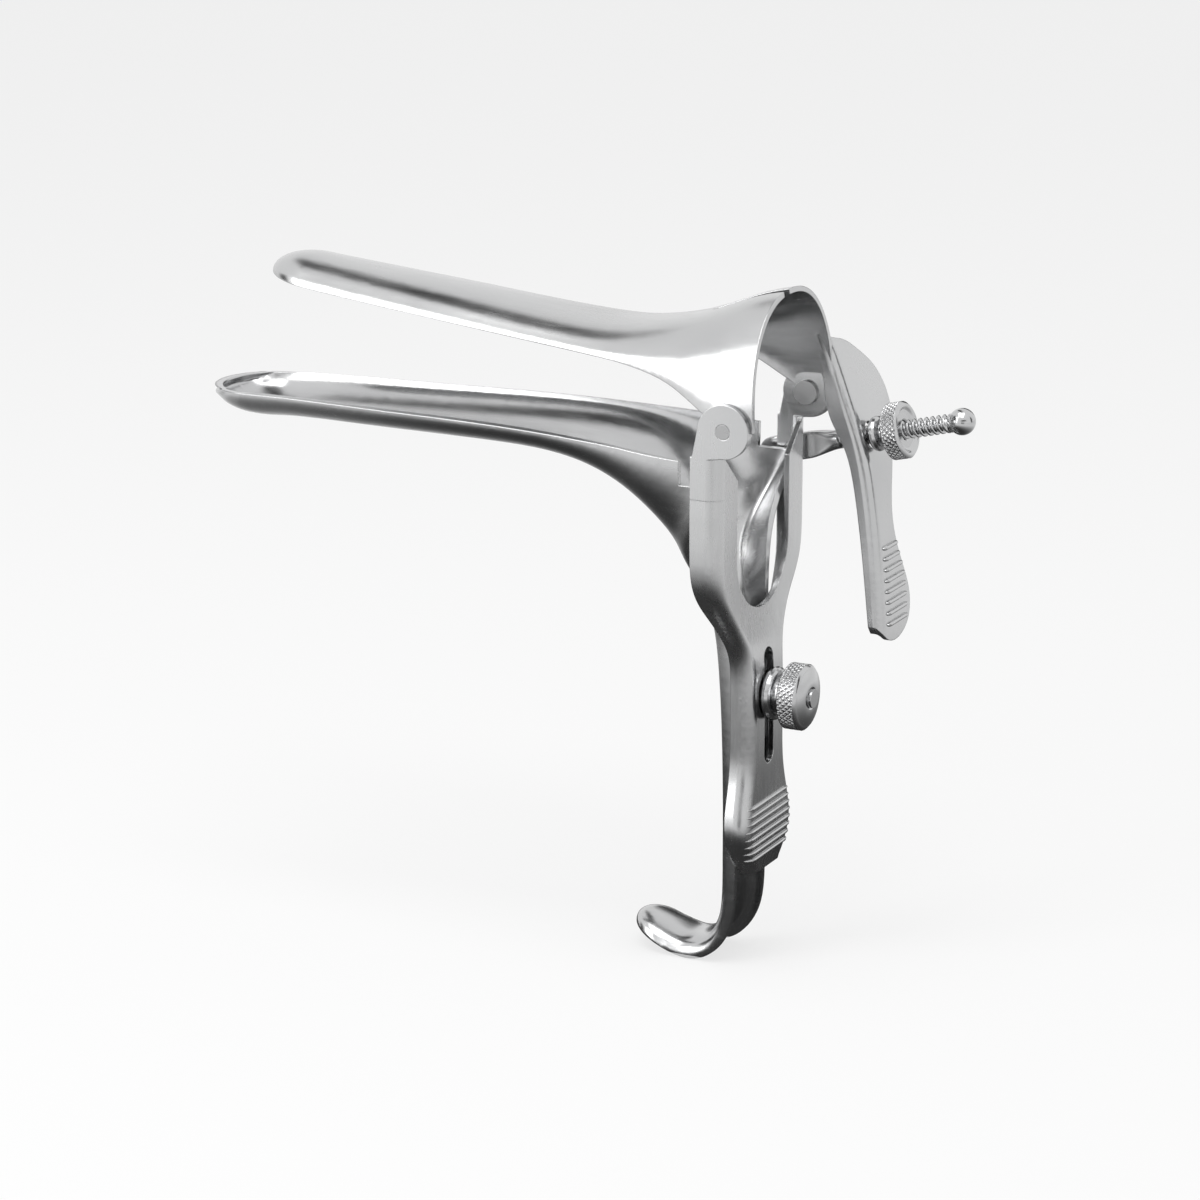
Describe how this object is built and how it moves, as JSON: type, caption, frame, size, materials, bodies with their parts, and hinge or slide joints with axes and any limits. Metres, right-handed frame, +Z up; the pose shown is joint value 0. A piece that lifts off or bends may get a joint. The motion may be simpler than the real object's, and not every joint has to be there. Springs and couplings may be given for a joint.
{
  "type": "bivalve speculum",
  "caption": "Two-bladed surgical speculum of polished steel: lower blade with stem and finger hook, sliding yoke with lock nut, hinged upper blade with thumb lever and adjusting screw",
  "frame": {"origin": "middle of the pivot axis of the upper blade, between the yoke's two ears", "axes": "+Z up along the stem, +Y forward to the blade tips, +X to the side of the thumb lever and the adjusting screw"},
  "size_m": [0.0659, 0.1807, 0.1574],
  "materials": {
    "lower_steel": "polished stainless steel",
    "upper_steel": "polished stainless steel",
    "yoke_steel": "polished stainless steel",
    "rivet_steel": "polished stainless steel, filed flush",
    "screw_steel": "turned and polished stainless steel",
    "nut_steel": "turned and knurled stainless steel"
  },
  "bodies": {
    "handle": {"lower_blade": "lower_steel", "slide_stud": "screw_steel"},
    "yoke": {"yoke": "yoke_steel", "pivot_rivet_left": "rivet_steel", "pivot_rivet_right": "rivet_steel", "screw_rivet": "rivet_steel"},
    "upper_blade": {"upper_blade": "upper_steel"},
    "adjusting_screw": {"adjusting_screw": "screw_steel", "ball_stop": "screw_steel"},
    "adjusting_collar": {"adjusting_collar": "nut_steel"},
    "adjusting_nut": {"adjusting_nut": "nut_steel"},
    "lock_collar": {"lock_collar": "nut_steel"},
    "lock_nut": {"lock_nut": "nut_steel"}
  },
  "joints": [
    {"name": "yoke_slide", "type": "slide", "parent": "handle", "child": "yoke", "axis": [0, 0, 1], "range_m": [-0.0068, 0.014]},
    {"name": "blade_hinge", "type": "hinge", "parent": "yoke", "child": "upper_blade", "pos_m": [0, 0, 0], "axis": [1, 0, 0], "range_deg": [-9, 21]},
    {"name": "screw_swing", "type": "hinge", "parent": "yoke", "child": "adjusting_screw", "pos_m": [0.027, 0.0044, -0.014], "axis": [1, 0, 0], "range_deg": [-5.8, 13.4]},
    {"name": "nut_travel", "type": "slide", "parent": "adjusting_screw", "child": "adjusting_collar", "axis": [0, -0.9724, 0.2334], "range_m": [-0.0048, 0.0021]},
    {"name": "nut_turn", "type": "hinge", "parent": "adjusting_collar", "child": "adjusting_nut", "pos_m": [0.027, -0.01991, -0.00816], "axis": [0, -0.9724, 0.2334], "range_deg": [-1145, 491]},
    {"name": "lock_travel", "type": "slide", "parent": "handle", "child": "lock_collar", "axis": [0, -1, 0], "range_m": [0, 0.00151]},
    {"name": "lock_turn", "type": "hinge", "parent": "lock_collar", "child": "lock_nut", "pos_m": [0, -0.008, -0.0652], "axis": [0, -1, 0], "range_deg": [0, 360]}
  ],
  "couplings": [
    {"joint": "screw_swing", "follows": "blade_hinge", "ratio": 0.63},
    {"joint": "nut_travel", "follows": "blade_hinge", "m_per_rad": -0.013},
    {"joint": "nut_turn", "follows": "blade_hinge", "ratio": -54.45},
    {"joint": "lock_travel", "follows": "lock_turn", "m_per_rad": 0.0002387}
  ]
}
